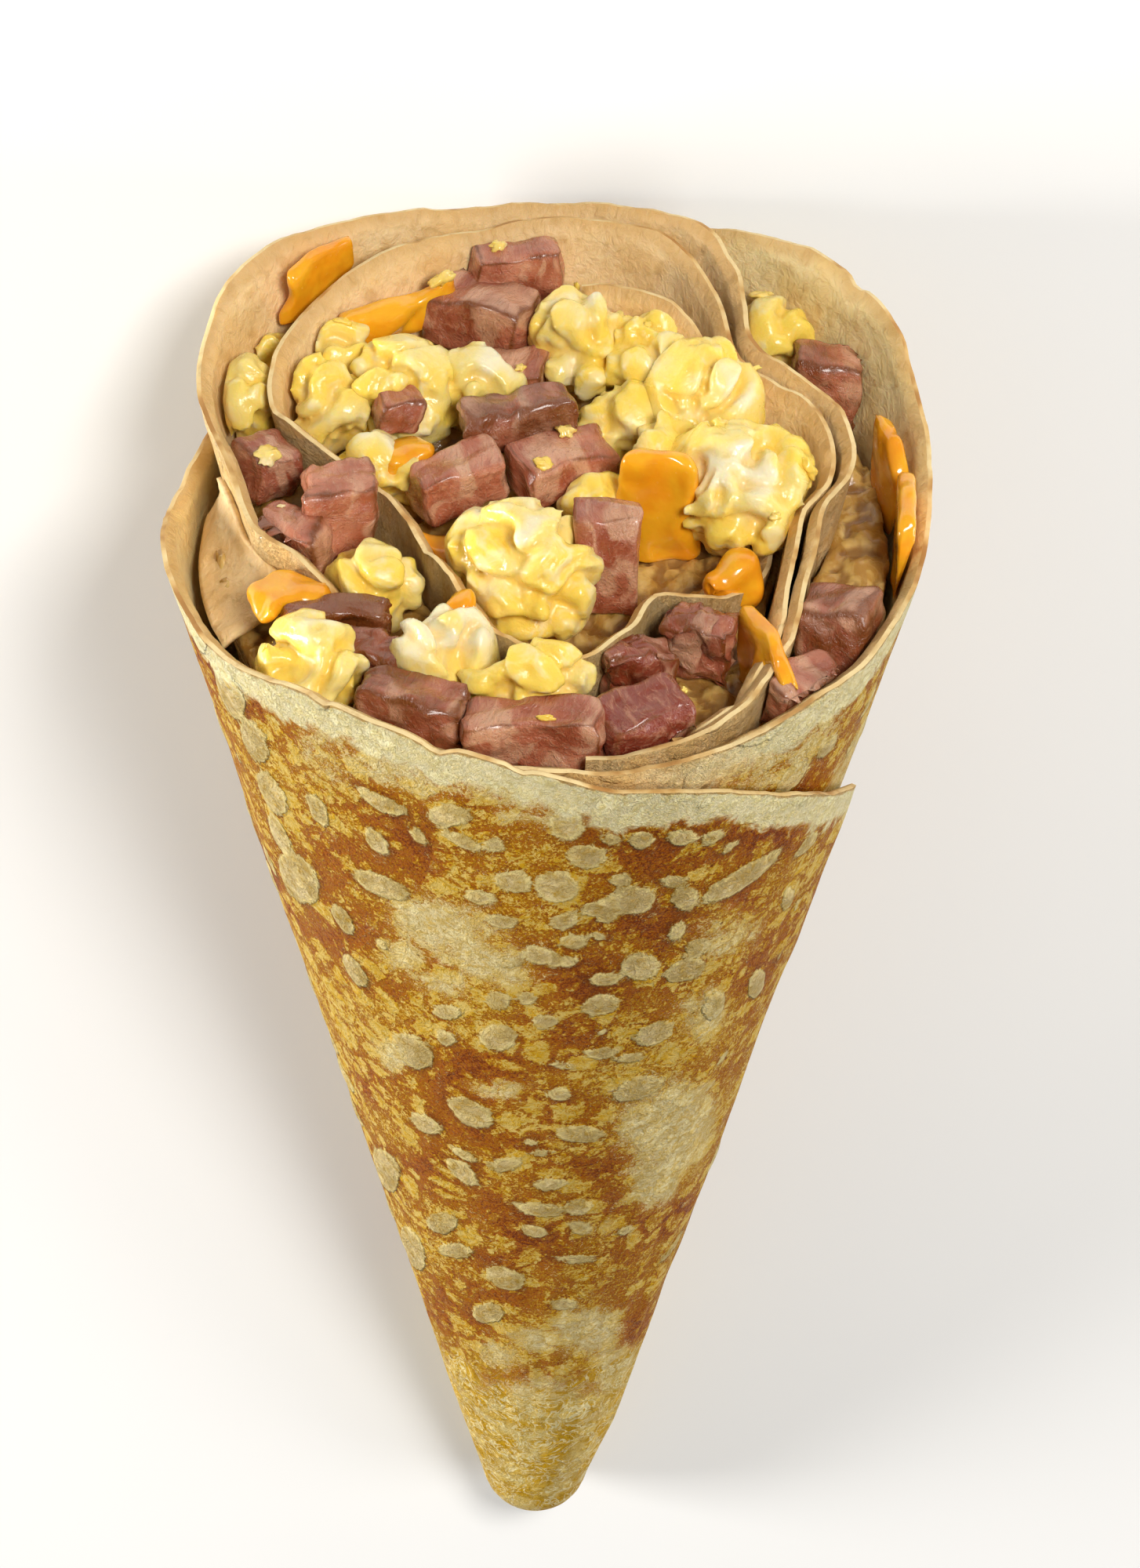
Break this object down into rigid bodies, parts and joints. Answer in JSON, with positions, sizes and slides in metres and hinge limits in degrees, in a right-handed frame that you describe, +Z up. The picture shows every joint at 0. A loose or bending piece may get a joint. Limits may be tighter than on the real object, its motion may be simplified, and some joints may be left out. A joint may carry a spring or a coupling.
{
  "type": "savory crepe",
  "caption": "Thin browned crepe rolled into a lying cone, its open mouth filled with scrambled egg, diced ham and melted cheese.",
  "frame": {"origin": "centre of the bounding box's base: the middle of the crepe as it lies, at the level of the surface it lies on", "axes": "+Y along the cone from its tip to its open mouth, +Z up, +X to the right seen from above with the mouth away from the viewer"},
  "size_m": [0.0922, 0.1916, 0.0882],
  "materials": {
    "crepe": "soft fried batter, mottled golden brown outside and cream inside",
    "filling": "packed scrambled egg, slightly moist",
    "ham": "moist cooked ham with browned edges",
    "egg": "soft scrambled egg, slightly moist",
    "cheese": "half-melted orange cheese, glossy"
  },
  "bodies": {
    "root": {"crepe": "crepe", "filling_1": "filling", "filling_2": "filling", "filling_3": "filling", "filling_4": "filling", "ham_01": "ham", "ham_02": "ham", "ham_03": "ham", "ham_04": "ham", "ham_05": "ham", "ham_06": "ham", "ham_07": "ham", "ham_08": "ham", "ham_09": "ham", "ham_10": "ham", "ham_11": "ham", "ham_12": "ham", "ham_13": "ham", "ham_14": "ham", "ham_15": "ham", "ham_16": "ham", "ham_17": "ham", "ham_18": "ham", "ham_19": "ham", "ham_20": "ham", "ham_21": "ham", "egg_01": "egg", "egg_02": "egg", "egg_03": "egg", "egg_04": "egg", "egg_05": "egg", "egg_06": "egg", "egg_07": "egg", "egg_08": "egg", "egg_09": "egg", "egg_10": "egg", "egg_11": "egg", "egg_12": "egg", "egg_13": "egg", "egg_14": "egg", "egg_15": "egg", "egg_16": "egg", "egg_17": "egg", "egg_18": "egg", "egg_19": "egg", "egg_20": "egg", "cheese_01": "cheese", "cheese_02": "cheese", "cheese_03": "cheese", "cheese_04": "cheese", "cheese_05": "cheese", "cheese_06": "cheese", "cheese_07": "cheese", "cheese_08": "cheese", "cheese_09": "cheese", "cheese_10": "cheese", "cheese_11": "cheese"}
  },
  "joints": []
}
